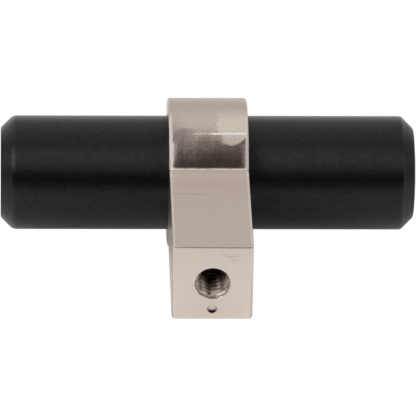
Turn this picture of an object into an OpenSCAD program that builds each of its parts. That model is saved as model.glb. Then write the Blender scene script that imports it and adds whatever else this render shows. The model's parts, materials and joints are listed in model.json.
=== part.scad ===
/* [Bar] */
// Diameter of the round bar that the fingers hold
bar_d = 14; // [11:0.5:18]
// Length of the bar from end to end
bar_length = 50.8; // [30:0.2:120]
// Width of the 45 degree chamfer on each end of the bar
bar_chamfer = 1.5; // [0.6:0.1:2.5]
// Radius that softens the two edges of each chamfer
bar_edge_r = 0.4; // [0.1:0.05:0.6]

/* [Post] */
// Distance from the mounting face to the axis of the bar
reach = 25.7; // [22:0.1:45]
// Width of the collar and the stem, along the bar
post_w = 9.7; // [7:0.1:14]
// Height of the stem, across the bar
stem_h = 10.1; // [9:0.1:13]
// Wall of the collar round the bar
collar_wall = 2.2; // [1.4:0.1:4]
// Radius that softens the outer edges of the casting
edge_r = 0.4; // [0.1:0.05:0.6]
// Radial clearance of the bar in the collar
bar_fit = 0.03; // [0.01:0.01:0.06]

/* [Screw hole] */
// Core diameter of the tapped hole for the door screw
hole_core_d = 3.45; // [3.3:0.05:4.1]
// Diameter of the countersink at the mouth of the hole
mouth_d = 4.3; // [4.2:0.1:5]
// Full angle of the countersink
mouth_angle = 90; // [80:5:120]

/* [Locating dimple] */
// Diameter of the small round dimple below the screw hole
dimple_d = 1.1; // [0.8:0.1:1.4]
// Depth of the dimple in the mounting face
dimple_depth = 0.45; // [0.2:0.05:0.6]
// Distance of the dimple below the axis of the screw hole
dimple_drop = 3.65; // [3.3:0.05:3.8]

/* [Grub screw] */
// Diameter of the grub screw over its thread
grub_d = 3; // [2.5:0.1:3.2]
// Length of the grub screw
grub_length = 5; // [4:0.5:7]
// Size across the flats of its hexagon socket
socket_flats = 1.5; // [1.2:0.1:1.6]
// Depth of the hexagon socket
socket_depth = 2; // [1:0.1:2.5]
// Chamfer on both ends of the grub screw
grub_chamfer = 0.4; // [0.2:0.05:0.5]
// Radial clearance of the grub screw in its thread
grub_fit = 0.02; // [0.01:0.01:0.05]
// Free length between the grub screw and the end of the screw hole
grub_recess = 1; // [0.5:0.1:2]

/* [Hidden] */

bar_r = bar_d / 2;
bore_r = bar_r + bar_fit;
collar_r = bar_r + collar_wall;
hole_core_r = hole_core_d / 2;
mouth_r = mouth_d / 2;
mouth_depth = (mouth_r - hole_core_r) / tan(mouth_angle / 2);
dimple_r = dimple_d / 2;
grub_r = grub_d / 2;
grub_hole_r = grub_r + grub_fit;

// Depths below the mounting face, towards the bar
grub_tip = reach - bar_r - grub_fit;
grub_head = grub_tip - grub_length;
hole_depth = grub_head - grub_recess;

// How far a cut runs past the face that it opens
past = 1;
round_fn = 96;
small_fn = 48;

// Turns a shape that stands on +Z so that it lies along the bar
module along_bar() {
    rotate([0, 90, 0]) children();
}

// Turns a shape that stands on +Z so that it points out of the mounting face
module out_of_face() {
    rotate([-90, 0, 0]) children();
}

// A rectangle with round corners, centred
module soft_rectangle(w, h, r) {
    square([w - 2 * r, h], center = true);
    square([w, h - 2 * r], center = true);
    for (x = [-1, 1], y = [-1, 1])
        translate([x * (w / 2 - r), y * (h / 2 - r)]) circle(r, $fn = small_fn);
}

// Half of the bar's section, from its middle to one chamfered end
module bar_half_section() {
    end = bar_length / 2;
    t = bar_edge_r * tan(22.5);
    s = t * cos(45);
    polygon([
        [0, 0],
        [bar_r, 0],
        [bar_r, end - bar_chamfer - t],
        [bar_r - s, end - bar_chamfer + s],
        [bar_r - bar_chamfer + s, end - s],
        [bar_r - bar_chamfer - t, end],
        [0, end]
    ]);
    translate([bar_r - bar_edge_r, end - bar_chamfer - t]) circle(bar_edge_r, $fn = small_fn);
    translate([bar_r - bar_chamfer - t, end - bar_edge_r]) circle(bar_edge_r, $fn = small_fn);
}

// Solid round bar, turned, with a chamfer on each end
module bar() {
    color("#1d1e20")
        translate([0, -reach, 0])
        along_bar()
        rotate_extrude($fn = round_fn)
        union() {
            bar_half_section();
            mirror([0, 1]) bar_half_section();
        }
}

// Ring round the bar, with soft outer edges
module collar() {
    along_bar()
        rotate_extrude($fn = round_fn)
        intersection() {
            soft_rectangle(2 * collar_r, post_w, edge_r);
            translate([bore_r, -post_w]) square([collar_r, 2 * post_w]);
        }
}

// Rectangular stem from the axis of the bar to the mounting face, with soft outer edges
module stem() {
    intersection() {
        out_of_face()
            translate([0, 0, -reach])
            linear_extrude(reach)
            soft_rectangle(post_w, stem_h, edge_r);
        translate([0, -reach, 0])
            linear_extrude(stem_h, center = true)
            soft_rectangle(post_w, 2 * reach, edge_r);
        translate([0, -reach, 0])
            rotate([0, 90, 0])
            linear_extrude(post_w, center = true)
            soft_rectangle(stem_h, 2 * reach, edge_r);
    }
}

// Small flat-bottomed dimple in the mounting face, below the screw hole
module dimple() {
    translate([0, 0, -dimple_drop])
        out_of_face()
        translate([0, 0, -dimple_depth])
        cylinder(dimple_depth + past, r = dimple_r, $fn = small_fn);
}

// Tapped hole with its countersink, and the narrower thread of the grub screw behind it
module screw_hole() {
    out_of_face() {
        translate([0, 0, -hole_depth]) cylinder(hole_depth + past, r = hole_core_r, $fn = small_fn);
        translate([0, 0, -mouth_depth]) cylinder(mouth_depth, r1 = hole_core_r, r2 = mouth_r, $fn = small_fn);
        translate([0, 0, -reach]) cylinder(reach - hole_depth + past, r = grub_hole_r, $fn = small_fn);
    }
}

// Collar and stem, cast as one piece
module post() {
    color("#b4a79d")
        difference() {
            union() {
                translate([0, -reach, 0]) collar();
                stem();
            }
            translate([0, -reach, 0])
                along_bar()
                cylinder(post_w + 2 * past, r = bore_r, center = true, $fn = round_fn);
            screw_hole();
            dimple();
        }
}

// Grub screw that pinches the bar in the collar
module grub_screw() {
    socket_r = socket_flats / 2 / cos(30);
    color("#4b4b4e")
        out_of_face()
        difference() {
            translate([0, 0, -grub_tip])
                rotate_extrude($fn = small_fn)
                polygon([
                    [0, 0],
                    [grub_r - grub_chamfer, 0],
                    [grub_r, grub_chamfer],
                    [grub_r, grub_length - grub_chamfer],
                    [grub_r - grub_chamfer, grub_length],
                    [0, grub_length]
                ]);
            translate([0, 0, -grub_head - socket_depth])
                cylinder(socket_depth + past, r = socket_r, $fn = 6);
        }
}

bar();
post();
grub_screw();
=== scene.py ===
import json
import math

import bmesh
import bpy
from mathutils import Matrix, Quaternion, Vector


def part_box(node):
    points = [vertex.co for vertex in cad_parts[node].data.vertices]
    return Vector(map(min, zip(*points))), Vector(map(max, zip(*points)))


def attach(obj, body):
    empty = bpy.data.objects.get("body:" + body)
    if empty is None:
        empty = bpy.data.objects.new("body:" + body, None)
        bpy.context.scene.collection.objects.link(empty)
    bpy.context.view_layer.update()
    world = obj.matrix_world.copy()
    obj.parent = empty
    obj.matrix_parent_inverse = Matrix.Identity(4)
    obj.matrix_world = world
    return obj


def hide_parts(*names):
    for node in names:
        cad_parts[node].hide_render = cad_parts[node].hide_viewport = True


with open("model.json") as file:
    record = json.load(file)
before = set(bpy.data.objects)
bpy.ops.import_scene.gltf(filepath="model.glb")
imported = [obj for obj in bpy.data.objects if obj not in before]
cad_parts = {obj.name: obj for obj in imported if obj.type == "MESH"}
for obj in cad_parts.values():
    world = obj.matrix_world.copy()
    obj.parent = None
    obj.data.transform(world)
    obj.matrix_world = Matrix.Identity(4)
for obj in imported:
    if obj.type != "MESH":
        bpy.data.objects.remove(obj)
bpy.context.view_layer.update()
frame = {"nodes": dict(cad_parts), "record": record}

MM = 0.001
DEGREE = math.radians(1)
PIXELS = 416
SENSOR_MM = 36.0

# Sizes of the solids, read from the frame. The collar stays a hair inside its box
bar_low, bar_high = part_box("bar")
post_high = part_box("post")[1]
grub_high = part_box("grub_screw")[1]
hole_dims = frame["record"]["mounts"][0]["dims"]
bar_y = (bar_low.y + bar_high.y) / 2
bar_radius = (bar_high.z - bar_low.z) / 2
bar_half = bar_high.x
post_half = post_high.x
hair = 0.0001 * MM
collar_radius = post_high.z - hair
hole_core = hole_dims["r_mm"] * MM
grub_radius = grub_high.x

# Sizes that the boxes don't give
stem_half = 5.05 * MM
bar_chamfer = 1.5 * MM
bar_edge = 0.16 * MM
bar_round_edge = 0.42 * MM
casting_edge = 0.4 * MM
face_edge = 0.08 * MM
inner_corner = 0.2 * MM
bore_clearance = 0.03 * MM
mouth_radius = 2.15 * MM
thread_pitch = 0.794 * MM
thread_root = 2.083 * MM
dimple_radius = 0.55 * MM
dimple_depth = 0.45 * MM
dimple_drop = 3.65 * MM
dimple_lip = 0.03 * MM
dimple_foot = 0.46 * MM
dimple_foot_round = 0.05 * MM
grub_clearance = 0.02 * MM
grub_recess = 1.0 * MM
hole_end = grub_high.y + grub_recess
corner_y = bar_y + math.sqrt(collar_radius ** 2 - stem_half ** 2)

# The share of its rounding that an edge keeps, on the stem's top and foot and on the collar's left,
# and the heights in degrees between which the collar's left edge turns crisp, and soft again
crisp_top = 0.35
crisp_foot = 0.8
crisp_side = 0.4
crisp_side_starts = (62, 84)
crisp_side_ends = (300, 270)

# A fine step that the mould left along the collar, which is level for a while below its edge.
# Angles are heights round the bar's axis, but the last two are radians below the step
step_angle = 62.5 * DEGREE
step_cuts = (0.0, 0.7 * DEGREE, 1.2 * DEGREE)
step_height = 0.035 * MM
step_skin = 0.05 * MM
step_worn_from = -0.8 * MM
step_worn_to = 3.4 * MM
step_level_to = 0.25
step_gone_at = 0.6

# The bright patch polished round the step, whose colour is painted brighter as highlight, with a
# slanting lower edge past its corner
patch_top = 90 * DEGREE
patch_full = 71 * DEGREE
patch_low = 51.8 * DEGREE
patch_corner_x = -2.9 * MM
patch_soft_x = -1.7 * MM
patch_slant = 2.0 * DEGREE / MM
patch_bend = 1.4 * DEGREE / (MM * MM)
patch_left_full = -2.4 * MM
patch_left_end = -0.8 * MM
patch_edge_full = -1.0 * MM
patch_edge_end = -0.45 * MM
patch_lean = 0.17

# The corner at the collar's left where that polish stops higher up, and where shade is painted
shade_top = 67.3 * DEGREE
shade_edge_x = 2.1 * MM
shade_corner_x = 3.5 * MM
shade_bend = 9 * DEGREE / (MM * MM)

# How finely round shapes are divided, how sharp a crease is, how far a cutter runs past the face
# that it opens, and how softly the light panels end
round_steps = 144
thread_steps = 72
small_steps = 48
crease_angle = 30 * DEGREE
overshoot = 1 * MM
panel_soft_height = 15 * DEGREE
panel_soft_width = 0.16

BAR_AXIS = Vector((0, bar_y, 0))


def bevel(bm, geom, affect, width, segments):
    """Rounds the given corners or edges of a mesh in the making."""
    return bmesh.ops.bevel(
        bm, geom=geom, affect=affect, offset=width, segments=segments, profile=0.5, material=-1
    )


def object_from(bm, name):
    """Turns a finished bmesh into an object, smooth but for its creases."""
    bmesh.ops.remove_doubles(bm, verts=bm.verts, dist=1e-7)
    bmesh.ops.recalc_face_normals(bm, faces=bm.faces)
    mesh = bpy.data.meshes.new(name)
    for face in bm.faces:
        face.smooth = True
    bm.to_mesh(mesh)
    bm.free()
    mesh.set_sharp_from_angle(angle=crease_angle)
    piece = bpy.data.objects.new(name, mesh)
    bpy.context.scene.collection.objects.link(piece)
    return piece


def turned_bar():
    """The bar, spun from half its section. The edge where its left chamfer starts is the roundest."""
    bm = bmesh.new()
    start = bm.verts.new((-bar_half, bar_y, 0))
    outline = (
        (-bar_half, bar_radius - bar_chamfer),
        (-bar_half + bar_chamfer, bar_radius),
        (bar_half - bar_chamfer, bar_radius),
        (bar_half, bar_radius - bar_chamfer),
        (bar_half, 0),
    )
    corners = []
    last = start
    length_cuts = 60
    for x, z in outline:
        point = bm.verts.new((x, bar_y, z))
        bm.edges.new((last, point))
        corners.append(point)
        last = point
    rounder = corners[2]
    bevel(bm, [corners[0], corners[1], corners[3]], "VERTICES", bar_edge, 6)
    bevel(bm, [rounder], "VERTICES", bar_round_edge, 10)
    long_edges = [e for e in bm.edges if e.calc_length() > bar_half]
    bmesh.ops.subdivide_edges(bm, edges=long_edges, cuts=length_cuts)
    bmesh.ops.spin(
        bm, geom=bm.verts[:] + bm.edges[:], cent=BAR_AXIS, axis=(1, 0, 0),
        angle=math.tau, steps=round_steps, use_merge=True,
    )
    return object_from(bm, "black_bar")


def smooth(start, end, value):
    """0 before the start and 1 past the end, with a smooth change between them."""
    share = min(max((value - start) / (end - start), 0), 1)
    return share * share * (3 - 2 * share)


def mould_step(bm):
    """Cuts the edges of the step into the collar's upper side."""
    for drop in step_cuts:
        angle = step_angle - drop
        upper = [f for f in bm.faces if f.calc_center_median().z > stem_half and abs(f.normal.x) < 0.99]
        edges = list({e for f in upper for e in f.edges})
        verts = list({v for f in upper for v in f.verts})
        across = Vector((0, -math.sin(angle), math.cos(angle)))
        parts = verts + edges + upper
        bmesh.ops.bisect_plane(bm, geom=parts, dist=1e-7, plane_co=BAR_AXIS, plane_no=across)


def raise_step(bm):
    """Lifts the collar just below the step's edge, and less and less further down and to the left."""
    for vert in bm.verts:
        out = Vector((0, vert.co.y - bar_y, vert.co.z))
        below = step_angle - math.atan2(out.z, out.y)
        if 0.001 < below < step_gone_at and out.length > collar_radius - step_skin:
            along = smooth(step_worn_to, step_worn_from, vert.co.x)
            down = smooth(step_gone_at, step_level_to, below)
            vert.co += out.normalized() * step_height * along * down


def tighten(vert, side_x, middle, reach, keep):
    """Shrinks an edge's round about its corner, which is at side_x and at reach from the middle."""
    out = Vector((0, vert.co.y, vert.co.z)) - middle
    missing = reach - out.length
    vert.co.x = side_x - (side_x - vert.co.x) * keep
    vert.co += out.normalized() * missing * (1 - keep)


def crisp_edges(bm):
    """Leaves the edges of the stem, and the collar's left edge at the top and back, nearly sharp."""
    everything = bm.verts[:] + bm.edges[:] + bm.faces[:]
    foot = Vector((0, corner_y + casting_edge, 0))
    bmesh.ops.bisect_plane(bm, geom=everything, dist=1e-7, plane_co=foot, plane_no=(0, 1, 0))
    near = casting_edge + 1e-6
    for vert in bm.verts:
        if abs(abs(vert.co.x) - post_half) > near:
            continue
        side_x = math.copysign(post_half, vert.co.x)
        out = Vector((0, vert.co.y - bar_y, vert.co.z))
        if vert.co.y > foot.y - 1e-7:
            if stem_half - abs(vert.co.z) < near:
                keep = crisp_top if vert.co.z > 0 else crisp_foot
                tighten(vert, side_x, Vector((0, vert.co.y, 0)), stem_half, keep)
        elif collar_radius - out.length < near and vert.co.x > 0:
            height = math.degrees(math.atan2(out.z, out.y)) % 360
            share = smooth(*crisp_side_starts, height) * smooth(*crisp_side_ends, height)
            keep = 1 - (1 - crisp_side) * share
            tighten(vert, side_x, BAR_AXIS, collar_radius, keep)


def meets_door(edge):
    """Whether an edge is the top or the bottom one of the mounting face."""
    one, other = edge.verts
    in_face = max(abs(one.co.y), abs(other.co.y)) < 1e-9
    level = abs(one.co.z - other.co.z) < 1e-9 and abs(abs(one.co.z) - stem_half) < 1e-7
    return edge.is_manifold and edge.calc_length() > post_half and in_face and level


def casting_blank():
    """Collar and stem in one, as a closed block with soft edges and no holes yet."""
    bm = bmesh.new()
    collar_steps = 150
    length_cuts = 39
    meet = math.asin(stem_half / collar_radius)
    start = BAR_AXIS + collar_radius * Vector((0, math.cos(meet), math.sin(meet)))
    first = bm.verts.new(start - Vector((post_half, 0, 0)))
    spun = bmesh.ops.spin(
        bm, geom=[first], cent=BAR_AXIS, axis=(1, 0, 0), angle=math.tau - 2 * meet, steps=collar_steps,
    )
    last = spun["geom_last"][0]
    corner_up = bm.verts.new((-post_half, 0, stem_half))
    corner_down = bm.verts.new((-post_half, 0, -stem_half))
    bm.edges.new((first, corner_up))
    bm.edges.new((corner_up, corner_down))
    bm.edges.new((corner_down, last))
    bmesh.ops.contextual_create(bm, geom=bm.edges[:])
    bevel(bm, [first, last], "VERTICES", inner_corner, 5)
    side = max(bm.faces, key=lambda f: f.calc_area())
    grown = bmesh.ops.extrude_face_region(bm, geom=[side])
    moved = [v for v in grown["geom"] if isinstance(v, bmesh.types.BMVert)]
    bmesh.ops.translate(bm, verts=moved, vec=(2 * post_half, 0, 0))
    bmesh.ops.recalc_face_normals(bm, faces=bm.faces)
    rims = [e for e in bm.edges if abs(e.verts[0].co.x - e.verts[1].co.x) < 1e-9]
    bevel(bm, rims, "EDGES", casting_edge, 6)
    crisp_edges(bm)
    bevel(bm, [e for e in bm.edges if meets_door(e)], "EDGES", face_edge, 4)
    mould_step(bm)
    along = [e for e in bm.edges if abs(e.verts[0].co.x - e.verts[1].co.x) > post_half]
    bmesh.ops.subdivide_edges(bm, edges=along, cuts=length_cuts, use_grid_fill=True)
    raise_step(bm)
    return object_from(bm, "nickel_post")


def bore_cutter():
    """The round hole that the bar passes through."""
    bm = bmesh.new()
    radius = bar_radius + bore_clearance
    reach = post_half + overshoot
    bmesh.ops.create_circle(bm, segments=round_steps, radius=radius, cap_ends=True)
    grown = bmesh.ops.extrude_face_region(bm, geom=bm.faces[:])
    moved = [v for v in grown["geom"] if isinstance(v, bmesh.types.BMVert)]
    bmesh.ops.translate(bm, verts=moved, vec=(0, 0, 2 * reach))
    bmesh.ops.translate(bm, verts=bm.verts, vec=(0, 0, -reach))
    turn = Quaternion((0, 1, 0), math.radians(90)).to_matrix()
    bmesh.ops.rotate(bm, verts=bm.verts, cent=(0, 0, 0), matrix=turn)
    bmesh.ops.translate(bm, verts=bm.verts, vec=BAR_AXIS)
    return object_from(bm, "bore_cutter")


def thread_cutter():
    """The tapped hole: one turn's groove wound on a helix, opened at the mouth by a cone."""
    bm = bmesh.new()
    past_face = 0.4 * MM
    spare_turns = 2
    turns = math.ceil(-hole_end / thread_pitch) + 2 * spare_turns
    crest_flat = thread_pitch / 4
    root_flat = thread_pitch / 8
    flank = (thread_pitch - crest_flat - root_flat) / 2
    start = hole_end - spare_turns * thread_pitch
    groove = (
        (hole_core, 0),
        (hole_core, crest_flat),
        (thread_root, crest_flat + flank),
        (thread_root, crest_flat + flank + root_flat),
        (hole_core, thread_pitch),
    )
    points = [bm.verts.new((radius, start + y, 0)) for radius, y in groove]
    for one, other in zip(points, points[1:]):
        bm.edges.new((one, other))
    flanks = [e for e in bm.edges if e.verts[0].co.x != e.verts[1].co.x]
    bmesh.ops.subdivide_edges(bm, edges=flanks, cuts=3)
    bmesh.ops.spin(
        bm, geom=bm.verts[:] + bm.edges[:], cent=(0, 0, 0), axis=(0, 1, 0),
        dvec=(0, thread_pitch / thread_steps, 0), angle=math.tau * turns, steps=thread_steps * turns,
    )
    bmesh.ops.remove_doubles(bm, verts=bm.verts, dist=1e-6)
    for vert in bm.verts:
        around = Vector((vert.co.x, 0, vert.co.z))
        cone = mouth_radius + vert.co.y
        if cone > around.length:
            vert.co += around.normalized() * (cone - around.length)
    for cut_y, sign in ((hole_end, -1), (past_face, 1)):
        bmesh.ops.bisect_plane(
            bm, geom=bm.verts[:] + bm.edges[:] + bm.faces[:], dist=1e-8,
            plane_co=(0, cut_y, 0), plane_no=(0, sign, 0), clear_outer=True,
        )
    bmesh.ops.holes_fill(bm, edges=[e for e in bm.edges if e.is_boundary])
    return object_from(bm, "thread_cutter")


def grub_bore_cutter():
    """The narrower hole of the grub screw, from the end of the thread to the bar."""
    bm = bmesh.new()
    radius = grub_radius + grub_clearance
    bmesh.ops.create_cone(
        bm, cap_ends=True, segments=small_steps, radius1=radius, radius2=radius, depth=1,
    )
    overlap = 0.2 * MM
    length = hole_end + overlap - (bar_y + bar_radius - overshoot)
    bmesh.ops.scale(bm, verts=bm.verts, vec=(1, 1, length))
    turn = Quaternion((1, 0, 0), math.radians(90)).to_matrix()
    bmesh.ops.rotate(bm, verts=bm.verts, cent=(0, 0, 0), matrix=turn)
    middle = hole_end + overlap - length / 2
    bmesh.ops.translate(bm, verts=bm.verts, vec=(0, middle, 0))
    return object_from(bm, "grub_bore_cutter")


def dimple_cutter():
    """The small flat-bottomed dimple below the hole, with its lip just broken."""
    bm = bmesh.new()
    above = 0.1 * MM
    outline = (
        (0, -dimple_depth),
        (dimple_foot, -dimple_depth),
        (dimple_radius, -dimple_lip),
        (dimple_radius + dimple_lip, 0),
        (dimple_radius + dimple_lip + above, above),
        (0, above),
    )
    made = [bm.verts.new((radius, y, 0)) for radius, y in outline]
    for one, other in zip(made, made[1:]):
        bm.edges.new((one, other))
    bevel(bm, made[1:2], "VERTICES", dimple_foot_round, 3)
    bmesh.ops.spin(
        bm, geom=bm.verts[:] + bm.edges[:], cent=(0, 0, 0), axis=(0, 1, 0),
        angle=math.tau, steps=small_steps, use_merge=True,
    )
    bmesh.ops.translate(bm, verts=bm.verts, vec=(0, 0, -dimple_drop))
    return object_from(bm, "dimple_cutter")


def cut(piece, cutter):
    """Cuts a closed solid out of a piece, and leaves the result in the piece's mesh."""
    step = piece.modifiers.new("cut", "BOOLEAN")
    step.operation = "DIFFERENCE"
    step.solver = "EXACT"
    step.object = cutter
    bpy.context.view_layer.update()
    depsgraph = bpy.context.evaluated_depsgraph_get()
    made = bpy.data.meshes.new_from_object(piece.evaluated_get(depsgraph))
    piece.modifiers.clear()
    piece.data = made
    bpy.data.objects.remove(cutter)


def keep_creases(piece):
    """Keeps creases sharp and large faces truly flat after the cuts."""
    piece.data.set_sharp_from_angle(angle=crease_angle)
    weighted = piece.modifiers.new("flat_faces", "WEIGHTED_NORMAL")
    weighted.keep_sharp = True
    weighted.weight = 100


class Nodes:
    """Short calls for joining nodes into a tree. Masks are values between 0 and 1."""

    def __init__(self, tree):
        self.tree = tree
        self.new = tree.nodes.new

    def put(self, value, socket):
        """Links a socket to a value, or sets it."""
        if isinstance(value, bpy.types.NodeSocket):
            self.tree.links.new(value, socket)
        else:
            socket.default_value = value

    def shader(self, kind, **inputs):
        """A shader of one kind, with the inputs that are named."""
        node = self.new(kind)
        for name, value in inputs.items():
            self.put(value, node.inputs[name])
        return node.outputs[0]

    def mix(self, share, one, other):
        """The first shader, and by the share the other in its place."""
        node = self.new("ShaderNodeMixShader")
        for number, value in enumerate((share, one, other)):
            self.put(value, node.inputs[number])
        return node.outputs[0]

    def axes(self, value):
        """The three parts of a vector."""
        node = self.new("ShaderNodeSeparateXYZ")
        self.put(value, node.inputs[0])
        return node.outputs

    def math(self, operation, *values):
        """A calculation with single numbers."""
        node = self.new("ShaderNodeMath")
        node.operation = operation
        for number, value in enumerate(values):
            self.put(value, node.inputs[number])
        return node.outputs[0]

    def vector(self, operation, *values):
        """A calculation with vectors. Scaling takes a number second, and a length is a number."""
        node = self.new("ShaderNodeVectorMath")
        node.operation = operation
        for number, value in enumerate(values):
            name = "Scale" if operation == "SCALE" and number else number
            self.put(value, node.inputs[name])
        return node.outputs["Value" if operation == "LENGTH" else "Vector"]

    def fade(self, value, start, end, low=0.0, high=1.0):
        """Goes smoothly from low to high as the value passes from start to end."""
        node = self.new("ShaderNodeMapRange")
        node.interpolation_type = "SMOOTHSTEP"
        for number, setting in enumerate((value, start, end, low, high)):
            self.put(setting, node.inputs[number])
        return node.outputs[0]

    def chain(self, operation, masks):
        """Joins any number of masks by one operation."""
        joined = masks[0]
        for mask in masks[1:]:
            joined = self.math(operation, joined, mask)
        return joined

    def all_of(self, *masks):
        """A mask that is full only where every given mask is."""
        return self.chain("MULTIPLY", masks)

    def any_of(self, *masks):
        """A mask that is as full as the fullest of the given masks."""
        return self.chain("MAXIMUM", masks)

    def rest_of(self, mask):
        """A mask that is full where the given one is empty."""
        return self.math("SUBTRACT", 1.0, mask)

    def window(self, value, start, full_from, full_to, end):
        """A mask that rises from start on, is full in the middle, and is gone at the end."""
        return self.all_of(self.fade(value, start, full_from), self.fade(value, end, full_to))

    def off(self, value, middle):
        """How far a value is from the middle one, to either side."""
        return self.math("ABSOLUTE", self.math("SUBTRACT", value, middle))


class Recipe(Nodes):
    """Short calls for the material of a surface."""

    def __init__(self, name, base, roughness, metallic, specular):
        self.material = bpy.data.materials.new(name)
        self.material.use_nodes = True
        super().__init__(self.material.node_tree)
        self.surface = self.tree.nodes["Principled BSDF"]
        self.give("Base Color", (*base, 1))
        self.give("Roughness", roughness)
        self.give("Metallic", metallic)
        self.give("Specular IOR Level", specular)
        self.place = self.new("ShaderNodeTexCoord").outputs["Object"]
        self.normal = self.new("ShaderNodeNewGeometry").outputs["Normal"]
        self.x, self.y, self.z = self.axes(self.place)

    def give(self, name, value):
        """Feeds one input of the surface."""
        self.put(value, self.surface.inputs[name])

    def grain(self, per_metre, detail=2.0, roughness=0.5):
        """Noise around 0.5, with its own number of grains to the metre along each axis."""
        node = self.new("ShaderNodeTexNoise")
        self.put(self.vector("MULTIPLY", self.place, per_metre), node.inputs["Vector"])
        self.put(1.0, node.inputs["Scale"])
        self.put(detail, node.inputs["Detail"])
        self.put(roughness, node.inputs["Roughness"])
        return node.outputs[0]

    def tint(self, factor, one, other):
        """Mixes two colours."""
        node = self.new("ShaderNodeMix")
        node.data_type = "RGBA"
        self.put(factor, node.inputs["Factor"])
        for colour, socket in ((one, node.inputs["A"]), (other, node.inputs["B"])):
            self.put(colour if isinstance(colour, bpy.types.NodeSocket) else (*colour, 1), socket)
        return node.outputs["Result"]

    def coats(self, colour, *layers):
        """Lays colours over one another, each where its mask is and as strongly as it says."""
        for mask, strength, coat in layers:
            colour = self.tint(self.math("MULTIPLY", mask, strength), colour, coat)
        return colour

    def shift(self, value, *changes):
        """Adds to a value, for each pair of a mask and an amount, that amount where the mask is."""
        for mask, amount in changes:
            value = self.math("MULTIPLY_ADD", mask, amount, value)
        return value

    def bump(self, height, distance, normal=None):
        """Relief from a height between 0 and 1."""
        node = self.new("ShaderNodeBump")
        self.put(distance, node.inputs["Distance"])
        self.put(height, node.inputs["Height"])
        if normal:
            self.put(normal, node.inputs["Normal"])
        return node.outputs[0]

    def uneven(self, value, per_metre, detail, depth):
        """A value that wanders by up to the depth, so that the edge of its mask isn't straight."""
        return self.math("MULTIPLY_ADD", self.grain(per_metre, detail), depth, value)

    def from_axis(self, height):
        """Distance from an axis that runs along Y at the given height, in the middle of the post."""
        offset = self.vector("SUBTRACT", self.place, (0, 0, height))
        return self.vector("LENGTH", self.vector("MULTIPLY", offset, (1, 0, 1)))

    def from_line(self, y, z):
        """Distance from a line that runs along X."""
        offset = self.vector("SUBTRACT", self.place, (0, y, z))
        return self.vector("LENGTH", self.vector("MULTIPLY", offset, (0, 1, 1)))

    def angle_round_bar(self):
        """Height angle of a point, seen from the bar's axis: 0 towards the door, 90 degrees up."""
        return self.math("ARCTAN2", self.z, self.math("SUBTRACT", self.y, bar_y))


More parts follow.
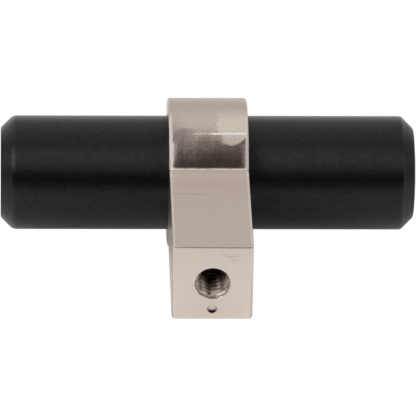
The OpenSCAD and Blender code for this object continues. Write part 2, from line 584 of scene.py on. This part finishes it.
class NickelPlate(Recipe):
    """Brushed nickel plate over a casting, with the marks of the wheel, the mould and the drill, and
    with painted highlight, reflection and shade.
    Left and right are the photograph's, so left is towards +X."""

    def __init__(self):
        super().__init__("satin_nickel", (0.66, 0.57, 0.51), 0.3, 1.0, 0.5)
        self.brush()
        self.find_places()
        self.find_polish()
        self.find_edge_wear_and_highlight()
        self.find_hole_marks()
        self.find_dimple_marks()
        self.find_scuffs()
        self.find_corner_marks()
        self.colour()
        self.gloss()
        self.relief()

    def brush_grain(self, along, across, detail, roughness=0.5):
        """Grain drawn out along the bar, but along the stem on the sides."""
        level = self.grain((along, across, across), detail, roughness)
        sideways = self.grain((across, along, across), detail, roughness)
        return self.tint(self.on_side, level, sideways)

    def brush(self):
        """Brush lines, fine and broad ones, cloudy spots, blotches, and scratches off the sides."""
        facing = self.axes(self.normal)
        self.facing_door = facing["Y"]
        self.on_side = self.fade(self.math("ABSOLUTE", facing["X"]), 0.6, 0.8)
        self.off_side = self.rest_of(self.on_side)
        self.lines = self.brush_grain(160, 9000, 3, 0.6)
        self.bands = self.brush_grain(50, 1500, 2)
        self.clouds = self.grain((500, 700, 700), 3, 0.6)
        self.blotches = self.fade(self.grain((3800, 4200, 4200), 3, 0.75), 0.4, 0.58)
        long_streaks = self.fade(self.grain((330, 5200, 5200), 2), 0.66, 0.74)
        self.scratches = self.all_of(long_streaks, self.off_side)

    def find_places(self):
        """Collar, stem and the ground face that meets the door. Brush lines are weaker on the sides."""
        self.angle = self.angle_round_bar()
        across_bar = self.vector("MULTIPLY", self.place, (0, 1, 1))
        self.from_bar = self.vector("SUBTRACT", across_bar, tuple(BAR_AXIS))
        from_bar_axis = self.vector("LENGTH", self.from_bar)
        outside = self.fade(from_bar_axis, collar_radius - 0.5 * MM, collar_radius - 0.2 * MM)
        self.on_collar = self.all_of(outside, self.fade(self.y, corner_y, corner_y - 0.1 * MM))
        self.on_stem = self.fade(self.y, corner_y, corner_y + 0.2 * MM)
        self.from_middle = self.math("ABSOLUTE", self.x)
        self.inside_rims = self.fade(self.from_middle, post_half - 0.1 * MM, post_half - 0.4 * MM)
        self.ground = self.fade(self.y, -0.16 * MM, -0.03 * MM)
        self.unground = self.rest_of(self.ground)
        self.brushed = self.all_of(self.unground, self.fade(self.on_side, 0.0, 1.0, 1.0, 0.25))

    def bright_patch(self):
        """The patch that a buffing wheel left round the step, its colour brightened as painted
        highlight: slanting below, faded to the left.
        """
        past_corner = self.math("MAXIMUM", self.math("SUBTRACT", patch_corner_x, self.x), 0.0)
        past_squared = self.math("MULTIPLY", past_corner, past_corner)
        slant = self.math("MULTIPLY_ADD", past_corner, patch_slant, patch_low)
        slant = self.math("MULTIPLY_ADD", past_squared, patch_bend, slant)
        wavy_angle = self.uneven(self.angle, (900, 1500, 1500), 2, 2 * DEGREE)
        above = self.math("SUBTRACT", wavy_angle, slant)
        softness = self.fade(self.x, patch_corner_x, patch_soft_x, 1.8 * DEGREE, 4.2 * DEGREE)
        lower_edge = self.fade(above, 0.2 * DEGREE, softness)
        soft_side = self.fade(self.x, patch_left_end, patch_left_full)
        wavy_x = self.uneven(self.x, (600, 900, 900), 3, 0.9 * MM)
        firm_side = self.fade(wavy_x, patch_edge_end, patch_edge_full)
        over_step = self.fade(self.angle, step_angle, step_angle + 1.5 * DEGREE)
        sideways = self.any_of(soft_side, self.all_of(firm_side, over_step))
        upper_edge = self.fade(self.angle, patch_top, patch_full)
        return self.all_of(lower_edge, sideways, upper_edge, self.on_collar)

    def shaded_corner(self):
        """The collar's left part, where the polish ends higher up in a round corner and the colour is
        darkened as painted shade.
        """
        past_corner = self.math("MAXIMUM", self.math("SUBTRACT", self.x, shade_corner_x), 0.0)
        past_squared = self.math("MULTIPLY", past_corner, past_corner)
        bent_angle = self.math("MULTIPLY_ADD", past_squared, shade_bend, self.angle)
        wavy_x = self.uneven(self.x, (700, 700, 700), 3, 1.2 * MM)
        sideways = self.fade(wavy_x, shade_edge_x - 0.1 * MM, shade_edge_x + 1.3 * MM)
        upper_edge = self.fade(bent_angle, shade_top + 0.3 * DEGREE, shade_top - 0.7 * DEGREE)
        lower_edge = self.fade(self.angle, 53 * DEGREE, 62 * DEGREE)
        return self.all_of(sideways, upper_edge, lower_edge, self.on_collar)

    def faint_patch(self):
        """The weaker polish round the patch, brightened as painted highlight, all along the collar but
        for its shaded corner.
        """
        wavy_x = self.uneven(self.x, (600, 900, 900), 3, 1.2 * MM)
        sideways = self.fade(wavy_x, 4.6 * MM, 3.2 * MM)
        upright = self.window(self.angle, 54 * DEGREE, step_angle, 72 * DEGREE, 90 * DEGREE)
        return self.all_of(sideways, upright, self.rest_of(self.shade), self.on_collar)

    def burnished_step_highlight(self):
        """The worn top of the step, painted near white as highlight, a little broken where it runs out.
        """
        from_step = self.off(self.angle, step_angle - 0.45 * DEGREE)
        on_step = self.fade(from_step, 1.05 * DEGREE, 0.65 * DEGREE)
        worn = self.fade(self.x, step_worn_to, step_worn_from)
        breaks = self.fade(self.grain((1900, 300, 300), 2), 0.36, 0.62)
        whole = self.fade(self.x, step_worn_from + 1.0 * MM, step_worn_from)
        outside = self.fade(self.y, bar_y, bar_y + 1 * MM)
        return self.all_of(on_step, worn, self.any_of(breaks, whole), outside, self.inside_rims)

    def find_polish(self):
        """What the wheel left on the collar, with painted highlight and shade, and the collar's front
        below it, painted warmer and brighter as reflection.
        """
        self.patch = self.bright_patch()
        self.shade = self.shaded_corner()
        self.faint = self.faint_patch()
        self.burnish_highlight = self.burnished_step_highlight()
        front_height = self.window(self.angle, 0.0, 20 * DEGREE, 48 * DEGREE, 68 * DEGREE)
        self.front = self.all_of(self.on_collar, self.inside_rims, front_height)
        self.front_left = self.all_of(self.front, self.fade(self.x, 0.5 * MM, 2.6 * MM))

    def find_edge_wear_and_highlight(self):
        """The collar's worn rims, its shoulders low in front, the stem's upper edges, brightened as
        painted highlight, and the stem's top.
        """
        low_front = self.all_of(self.on_collar, self.fade(self.angle, 57 * DEGREE, 50 * DEGREE))
        self.right_shoulder = self.all_of(low_front, self.fade(self.x, -3.7 * MM, -4.6 * MM))
        self.left_shoulder = self.all_of(low_front, self.fade(self.x, 3.6 * MM, 4.6 * MM))
        left_wedge = self.all_of(
            low_front,
            self.fade(self.x, 4.15 * MM, 4.45 * MM),
            self.fade(self.angle, 36 * DEGREE, 41 * DEGREE),
        )
        upper_rims = self.all_of(
            self.on_collar,
            self.fade(self.from_middle, post_half - 0.5 * MM, post_half - 0.25 * MM),
            self.fade(self.angle, 86 * DEGREE, 74 * DEGREE),
        )
        self.rims = self.any_of(upper_rims, left_wedge, self.all_of(self.right_shoulder, 0.3))
        # Painted highlight on the stem's upper edges
        self.stem_edge_highlight = self.all_of(
            self.on_stem,
            self.fade(self.from_middle, post_half - 0.4 * MM, post_half - 0.2 * MM),
            self.fade(self.z, stem_half - 0.3 * MM, stem_half - 0.1 * MM),
        )
        self.under_collar = self.all_of(
            self.on_stem,
            self.fade(self.y, corner_y + 3.5 * MM, corner_y + 0.2 * MM),
            self.fade(self.z, 0.0, stem_half),
        )

    def find_hole_marks(self):
        """The tapped hole is bare metal, painted darker the deeper as shade, and its countersink is
        rough, with painted shade on its upper part and a dark spot low in it.
        """
        reach = self.from_axis(0)
        self.in_hole = self.all_of(
            self.fade(reach, mouth_radius + 0.12 * MM, mouth_radius + 0.06 * MM),
            self.window(self.y, bar_y, bar_y + 0.5 * MM, -0.06 * MM, -0.01 * MM),
        )
        # Painted shade, darker the deeper in the hole
        self.deep_shade = self.all_of(self.in_hole, self.fade(self.y, -1.8 * MM, -5.0 * MM))
        self.chatter = self.grain((2400, 2400, 2400), 3, 0.7)
        self.cone = self.all_of(
            self.in_hole,
            self.fade(reach, hole_core + 0.02 * MM, hole_core + 0.12 * MM),
            self.fade(self.y, -0.62 * MM, -0.45 * MM),
        )
        # Painted shade on the countersink's upper part
        self.upper_lip_shade = self.all_of(self.cone, self.fade(self.z, 0.6 * MM, 1.3 * MM))
        # A dark spot low in the countersink
        dark_spot_offset = self.vector("SUBTRACT", self.place, (0.35 * MM, -0.3 * MM, -1.45 * MM))
        dark_spot_reach = self.vector("LENGTH", dark_spot_offset)
        self.dark_spot = self.all_of(self.in_hole, self.fade(dark_spot_reach, 0.45 * MM, 0.2 * MM))
        self.burr = self.all_of(
            self.window(reach, mouth_radius - 0.14 * MM, mouth_radius - 0.05 * MM,
                        mouth_radius + 0.03 * MM, mouth_radius + 0.1 * MM),
            self.fade(self.y, -0.6 * MM, -0.3 * MM),
            self.fade(self.z, 0.6 * MM, -0.6 * MM),
            self.fade(self.chatter, 0.4, 0.55),
        )
        self.painted_flank_highlight = self.painted_thread_highlight()

    def painted_thread_highlight(self):
        """The thread's flanks that face the mouth, low in the hole, brightened as painted highlight,
        with a strip of painted shade.
        """
        from_middle = self.off(self.x, 0.1 * MM)
        from_strip = self.off(self.x, 0.38 * MM)
        return self.all_of(
            self.in_hole,
            self.fade(self.z, 0.0, -0.8 * MM),
            self.fade(from_middle, 1.2 * MM, 0.5 * MM),
            self.fade(self.facing_door, 0.0, 0.45),
            self.fade(from_strip, 0.05 * MM, 0.4 * MM, 0.45, 1.0),
        )

    def find_dimple_marks(self):
        """The dimple's lower wall and its lip are darkened as painted shade, and its floor is
        brightened as painted light.
        """
        reach = self.from_axis(-dimple_drop)
        at_lip = self.fade(reach, dimple_radius + 0.1 * MM, dimple_radius + 0.05 * MM)
        # Painted shade on the dimple's lip
        self.dimple_lip_shade = self.all_of(self.ground, at_lip)
        self.in_dimple = self.all_of(
            self.fade(reach, dimple_radius + 0.1 * MM, dimple_radius + 0.06 * MM),
            self.window(self.y, -dimple_depth - 0.2 * MM, -dimple_depth - 0.1 * MM,
                        -0.03 * MM, -0.005 * MM),
        )
        # Painted light on the dimple's floor
        self.dimple_floor = self.all_of(
            self.in_dimple,
            self.fade(reach, dimple_foot, dimple_foot - 0.05 * MM),
            self.fade(self.y, -dimple_depth + 0.04 * MM, -dimple_depth + 0.01 * MM),
        )
        low_wall = self.fade(self.z, -dimple_drop - 0.26 * MM, -dimple_drop - 0.36 * MM)
        # Painted shade on the dimple's lower wall
        self.painted_dimple_shade = self.all_of(self.in_dimple, low_wall)

    def find_scuffs(self):
        """Small scuffs at the upper right of the ground face, and long scratches on the stem."""
        self.scuffs = self.all_of(
            self.ground,
            self.window(self.x, -3.4 * MM, -3.0 * MM, -1.3 * MM, -0.9 * MM),
            self.window(self.z, 2.5 * MM, 2.9 * MM, 3.9 * MM, 4.3 * MM),
            self.fade(self.grain((650, 1000, 5600), 1), 0.53, 0.6),
        )
        self.drawn = self.all_of(
            self.on_stem,
            self.off_side,
            self.window(self.y, -13.5 * MM, -12.0 * MM, -9.8 * MM, -8.5 * MM),
            self.fade(self.x, -1.2 * MM, 0.2 * MM),
            self.fade(self.grain((90, 2400, 2400), 1), 0.6, 0.7),
        )

    def find_corner_marks(self):
        """Plate piled up where collar and stem meet, with a painted highlight along it, and the line
        along the ground face's top edge.
        """
        self.ragged = self.grain((1300, 2600, 2600), 3, 0.7)
        reach = self.from_line(corner_y, stem_half)
        self.corner = self.fade(reach, 0.3 * MM, 0.12 * MM)
        # Painted highlight along the bead
        self.bead_highlight = self.all_of(
            self.fade(reach, 0.14 * MM, 0.09 * MM),
            self.inside_rims,
            self.fade(self.ragged, 0.25, 0.45),
            self.fade(self.z, 0, 1 * MM),
        )
        left_reach = self.from_line(-0.08 * MM, stem_half)
        right_reach = self.from_line(0, stem_half - 0.1 * MM)
        edge_reach = self.fade(self.x, 4 * MM, -4 * MM, left_reach, right_reach)
        self.edge_line = self.all_of(
            self.fade(edge_reach, 0.17 * MM, 0.08 * MM),
            self.fade(self.x, 4.2 * MM, 3.5 * MM),
        )

    def colour(self):
        """The plate's colour, and over it, in this order, those of the marks and of painted highlight,
        reflection and shade.
        """
        mottled = self.fade(self.angle, 60 * DEGREE, 70 * DEGREE, 0.6, 0.25)
        mottled = self.all_of(mottled, self.fade(self.patch, 0.0, 1.0, 1.0, 0.45))
        mottled = self.all_of(self.inside_rims, self.on_collar, self.blotches, mottled)
        bare_metal = self.tint(self.chatter, (0.5, 0.41, 0.34), (0.7, 0.6, 0.52))
        painted_highlight_metal = self.tint(self.chatter, (0.95, 0.76, 0.62), (1.0, 0.88, 0.75))
        rough_grain = self.fade(self.chatter, 0.35, 0.65)
        rough_metal = self.tint(rough_grain, (0.25, 0.16, 0.12), (0.85, 0.77, 0.68))
        plate = self.tint(self.bands, (0.65, 0.54, 0.475), (0.7, 0.59, 0.52))
        marked = self.coats(
            plate,
            # painted reflection: the collar's front warmer and brighter, more so at its left
            (self.front, 0.7, (0.95, 0.72, 0.63)),
            (self.front_left, 0.8, (1.0, 0.86, 0.75)),
            # painted shade on the collar's left corner
            (self.shade, 0.4, (0.5, 0.43, 0.38)),
            (self.all_of(self.scratches, self.unground), 0.35, (0.45, 0.37, 0.32)),
            (self.drawn, 0.5, (0.45, 0.37, 0.32)),
            (self.ground, 1.0, (0.85, 0.775, 0.715)),
            (self.scuffs, 0.5, (0.55, 0.44, 0.39)),
            (self.edge_line, 0.45, (0.52, 0.38, 0.32)),
            # painted highlight on the polished patch, and weaker round it
            (self.patch, 0.85, (1.0, 0.9, 0.76)),
            (self.faint, 0.4, (0.84, 0.75, 0.64)),
            (mottled, 1.0, (0.42, 0.35, 0.31)),
            (self.rims, 1.0, (0.85, 0.76, 0.69)),
            # painted highlight on the stem's upper edges
            (self.stem_edge_highlight, 0.5, (0.95, 0.88, 0.8)),
            # painted highlight along the plate bead
            (self.bead_highlight, 0.9, (1.0, 0.93, 0.79)),
            # painted highlight, near white, on the step's worn top
            (self.burnish_highlight, 1.0, (0.97, 0.96, 0.93)),
            (self.in_hole, 1.0, bare_metal),
            # painted highlight on the thread's flanks
            (self.painted_flank_highlight, 1.0, painted_highlight_metal),
            # painted shade deep in the hole
            (self.deep_shade, 0.93, (0.08, 0.03, 0.02)),
            (self.cone, 1.0, rough_metal),
            # painted shade on the countersink's upper part
            (self.upper_lip_shade, 1.0, (0.1, 0.05, 0.04)),
            # a dark spot low in the countersink
            (self.dark_spot, 1.0, (0.06, 0.045, 0.04)),
            (self.burr, 0.8, (0.2, 0.11, 0.07)),
            # painted shade on the dimple's lip
            (self.dimple_lip_shade, 0.6, (0.35, 0.28, 0.24)),
            (self.in_dimple, 1.0, (0.62, 0.54, 0.48)),
            # painted shade on the dimple's lower wall, then painted light on its floor
            (self.painted_dimple_shade, 1.0, (0.03, 0.02, 0.018)),
            (self.dimple_floor, 1.0, (0.98, 0.91, 0.85)),
        )
        self.give("Base Color", marked)

    def gloss(self):
        """Roughness, highlights drawn out across the brush lines, and less shine in hole and rims."""
        bands = self.tint(self.ground, self.bands, (0.5, 0.5, 0.5))
        rough = self.shift(
            self.fade(bands, 0.3, 0.7, 0.27, 0.33),
            (self.on_stem, -0.04),
            (self.patch, 0.06),
            (self.cone, 0.15),
            (self.bead_highlight, 0.25),
            (self.burnish_highlight, -0.1),
            (self.rims, 0.32),
            (self.in_dimple, 0.2),
        )
        self.give("Roughness", rough)
        unbrushed = self.any_of(self.bead_highlight, self.burnish_highlight, self.in_hole, self.in_dimple, self.rims)
        self.give("Anisotropic", self.fade(unbrushed, 0.0, 1.0, 0.7, 0.0))
        dull = self.any_of(
            self.all_of(self.in_hole, 0.3),
            self.all_of(self.rims, 0.85),
            self.all_of(self.painted_flank_highlight, 0.95),
        )
        self.give("Metallic", self.rest_of(dull))
        self.give("Tangent", self.vector("CROSS_PRODUCT", self.normal, (1, 0.03, 0.06)))

    def leaning_normal(self):
        """Patch and step lean up, the shoulders turn outwards, and the rims face off the bar."""
        wheel = self.math("SUBTRACT", self.grain((2300, 500, 500), 3, 0.6), 0.5)
        lean = self.shift(
            self.math("MULTIPLY", self.patch, patch_lean),
            (self.faint, 0.05),
            (self.shade, -0.03),
            (self.under_collar, -0.13),
            (self.front_left, 0.03),
            (self.all_of(wheel, self.on_collar), 0.16),
        )
        lean = self.fade(self.burnish_highlight, 0.0, 1.0, lean, 0.25)
        uphill = self.vector("CROSS_PRODUCT", (1, 0, 0), self.normal)
        off_bar = self.vector("NORMALIZE", self.from_bar)
        flattened = self.vector("SCALE", off_bar, self.all_of(self.rims, 0.5))
        sides = self.math("SUBTRACT", self.left_shoulder, self.right_shoulder)
        outwards = self.vector("SCALE", (0.14, 0, 0), sides)
        normal = self.vector("ADD", self.normal, self.vector("SCALE", uphill, lean))
        normal = self.vector("ADD", normal, flattened)
        return self.vector("NORMALIZE", self.vector("ADD", normal, outwards))

    def relief(self):
        """Ragged plate in the corner, soft clouds, a rough countersink and shallow brush lines."""
        heights = (
            (self.ragged, self.corner, 0.05 * MM),
            (self.clouds, self.brushed, 0.007 * MM),
            (self.chatter, self.cone, 0.06 * MM),
            (self.bands, self.brushed, 0.004 * MM),
            (self.lines, self.brushed, 0.002 * MM),
        )
        normal = self.leaning_normal()
        for height, mask, depth in heights:
            normal = self.bump(self.all_of(height, mask), depth, normal)
        self.give("Normal", normal)


def black_coating():
    """Matte black coat over a turned bar: mottle, turning marks, and chamfers rubbed at their edges."""
    recipe = Recipe("black_coating", (0.0015, 0.0015, 0.0018), 0.42, 0.0, 0.38)
    mottle = recipe.grain((4200, 4200, 4200), 3, 0.6)
    marks = recipe.grain((6500, 500, 500), 2)
    spots = recipe.grain((1500, 1800, 1800), 3, 0.65)
    from_edge = recipe.off(recipe.math("ABSOLUTE", recipe.x), bar_half - bar_chamfer)
    rubbed = recipe.fade(from_edge, 0.45 * MM, 0.1 * MM)
    recipe.give("Roughness", recipe.shift(recipe.fade(mottle, 0.3, 0.7, 0.37, 0.47), (rubbed, -0.08)))
    sheen = recipe.shift(recipe.fade(spots, 0.3, 0.7, 0.35, 0.44), (rubbed, 0.06))
    recipe.give("Specular IOR Level", sheen)
    recipe.give("Specular Tint", (0.93, 0.92, 1, 1))
    recipe.give("Anisotropic", 0.9)
    # The surface takes a tangent from a node only, so a sum with nothing holds the bar's direction
    recipe.give("Tangent", recipe.vector("ADD", (1, 0.02, 0.05), (0, 0, 0)))
    recipe.give("Normal", recipe.bump(marks, 0.003 * MM, recipe.bump(mottle, 0.03 * MM)))
    return recipe.material


def dark_steel():
    """Blackened steel of the grub screw."""
    recipe = Recipe("dark_steel", (0.1, 0.1, 0.105), 0.35, 1.0, 0.5)
    spots = recipe.grain((3000, 3000, 3000), 3)
    recipe.give("Base Color", recipe.tint(spots, (0.07, 0.07, 0.075), (0.13, 0.13, 0.135)))
    recipe.give("Roughness", recipe.fade(spots, 0.3, 0.7, 0.3, 0.45))
    recipe.give("Normal", recipe.bump(spots, 0.004 * MM))
    return recipe.material


def finish_piece(piece, material, slot, *nodes):
    """Gives a piece its material and body, and hides the solids that it stands for. The slot is not
    used.
    """
    piece.data.materials.clear()
    piece.data.materials.append(material)
    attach(piece, "root")
    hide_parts(*nodes)


bar = turned_bar()
post = casting_blank()
for make_cutter in (bore_cutter, thread_cutter, grub_bore_cutter, dimple_cutter):
    cut(post, make_cutter())
keep_creases(post)

finish_piece(bar, black_coating(), "black_coating", "bar")
finish_piece(post, NickelPlate().material, "satin_nickel", "post")
grub = frame["nodes"]["grub_screw"]
grub.data.materials.clear()
grub.data.materials.append(dark_steel())


class Panel:
    """A soft light: where it stands over the knob, how far it reaches, and how strong it is.
    Heights are degrees round the bar's direction: 0 in front, 90 overhead, 180 behind.
    Sideways is 1 at the picture's left and -1 at its right."""

    def __init__(self, height, half_height, sideways, half_width, strength):
        self.height = math.radians(height)
        self.half_height = math.radians(half_height)
        self.sideways = sideways
        self.half_width = half_width
        self.strength = strength

    def glow(self, room, height, sideways):
        """How much light comes from the panel in each direction, with soft edges."""
        tall = room.fade(
            room.off(height, self.height),
            self.half_height + panel_soft_height,
            self.half_height - panel_soft_height,
        )
        wide = room.fade(
            room.off(sideways, self.sideways),
            self.half_width + panel_soft_width,
            self.half_width - panel_soft_width,
        )
        return room.all_of(tall, wide, self.strength)


def studio_light(*panels):
    """A dark room with a few soft panels. The camera itself sees a plain white backdrop."""
    world = bpy.data.worlds.new("studio_light")
    bpy.context.scene.world = world
    world.use_nodes = True
    room = Nodes(world.node_tree)
    room.tree.nodes.clear()
    axes = room.axes(room.new("ShaderNodeTexCoord").outputs["Generated"])
    from_top = room.math("ARCTAN2", room.math("MULTIPLY", axes["Y"], -1), axes["Z"])
    height = room.math("ADD", from_top, math.radians(90))
    light = 0.0
    for panel in panels:
        light = room.math("ADD", light, panel.glow(room, height, axes["X"]))
    lit_room = room.shader("ShaderNodeBackground", Strength=light)
    backdrop = room.shader("ShaderNodeBackground", Color=(1, 1, 1, 1))
    camera_ray = room.new("ShaderNodeLightPath").outputs["Is Camera Ray"]
    seen = room.mix(camera_ray, lit_room, backdrop)
    room.put(seen, room.new("ShaderNodeOutputWorld").inputs["Surface"])


def floor_paint():
    """Pale under the knob and behind it, darker in front as painted shade, with a weak glow. The camera
    sees it as plain white, and sees through it from below."""
    near_y = -5 * MM
    far_y = 70 * MM
    material = bpy.data.materials.new("pale_floor")
    material.use_nodes = True
    paint = Nodes(material.node_tree)
    paint.tree.nodes.clear()
    in_front = paint.axes(paint.new("ShaderNodeTexCoord").outputs["Object"])["Y"]
    paleness = paint.fade(in_front, near_y, far_y, 0.95, 0.1)
    card = paint.shader("ShaderNodeBsdfDiffuse", Color=paint.vector("SCALE", (1, 0.97, 0.94), paleness))
    glow = paint.shader("ShaderNodeEmission", Strength=paint.math("MULTIPLY", paleness, 0.15))
    lit = paint.new("ShaderNodeAddShader")
    paint.put(card, lit.inputs[0])
    paint.put(glow, lit.inputs[1])
    plain = paint.shader("ShaderNodeEmission")
    clear = paint.shader("ShaderNodeBsdfTransparent")
    camera_ray = paint.new("ShaderNodeLightPath").outputs["Is Camera Ray"]
    lower_side = paint.new("ShaderNodeNewGeometry").outputs["Backfacing"]
    upper_side = paint.mix(camera_ray, lit.outputs[0], plain)
    both_sides = paint.mix(lower_side, upper_side, clear)
    paint.put(both_sides, paint.new("ShaderNodeOutputMaterial").inputs["Surface"])
    return material


def pale_floor():
    """A wide plain floor that the knob lies on. It passes just under the stem's foot and the collar."""
    bm = bmesh.new()
    floor_size = 20
    gap = 0.03 * MM
    bmesh.ops.create_grid(bm, x_segments=1, y_segments=1, size=floor_size)
    foot = Vector((0, 0, -stem_half))
    to_bar = BAR_AXIS - foot
    lean = math.asin(collar_radius / to_bar.length) - math.atan2(to_bar.z, -to_bar.y)
    turn = Quaternion((1, 0, 0), lean).to_matrix()
    bmesh.ops.rotate(bm, verts=bm.verts, cent=(0, 0, 0), matrix=turn)
    bmesh.ops.translate(bm, verts=bm.verts, vec=foot - Vector((0, 0, gap)))
    floor = object_from(bm, "pale_floor")
    if floor.data.polygons[0].normal.z < 0:
        floor.data.flip_normals()
    floor.data.materials.append(floor_paint())


def photo_camera():
    """The camera at the photograph's angle."""
    azimuth = math.radians(177.72)
    elevation = math.radians(31.42)
    roll = math.radians(1.28)
    distance = 0.756
    pixel_focal = 6109
    aim = Vector((-0.259 * MM, bar_y, -5.136 * MM))
    back = Vector((
        math.sin(azimuth) * math.cos(elevation),
        -math.cos(azimuth) * math.cos(elevation),
        math.sin(elevation),
    ))
    camera = bpy.data.objects.new("camera", bpy.data.cameras.new("camera"))
    bpy.context.scene.collection.objects.link(camera)
    camera.location = aim + back * distance
    camera.rotation_mode = "QUATERNION"
    camera.rotation_quaternion = (-back).to_track_quat("-Z", "Y") @ Quaternion((0, 0, 1), roll)
    camera.data.sensor_width = SENSOR_MM
    camera.data.lens = SENSOR_MM * pixel_focal / PIXELS
    camera.data.clip_start = 0.05
    camera.data.clip_end = 50
    bpy.context.scene.camera = camera


left_window = Panel(height=60, half_height=22, sideways=0.63, half_width=0.14, strength=7.0)
right_window = Panel(height=62, half_height=28, sideways=-0.66, half_width=0.13, strength=3.6)
ceiling = Panel(height=124, half_height=33, sideways=0.0, half_width=0.7, strength=0.96)
ceiling_edge = Panel(height=78, half_height=11, sideways=0.38, half_width=0.3, strength=1.35)
back_wall = Panel(height=182, half_height=20, sideways=0.0, half_width=1.1, strength=1.05)
studio_light(left_window, right_window, ceiling, ceiling_edge, back_wall)
pale_floor()
photo_camera()
bpy.context.scene.view_settings.view_transform = "Standard"
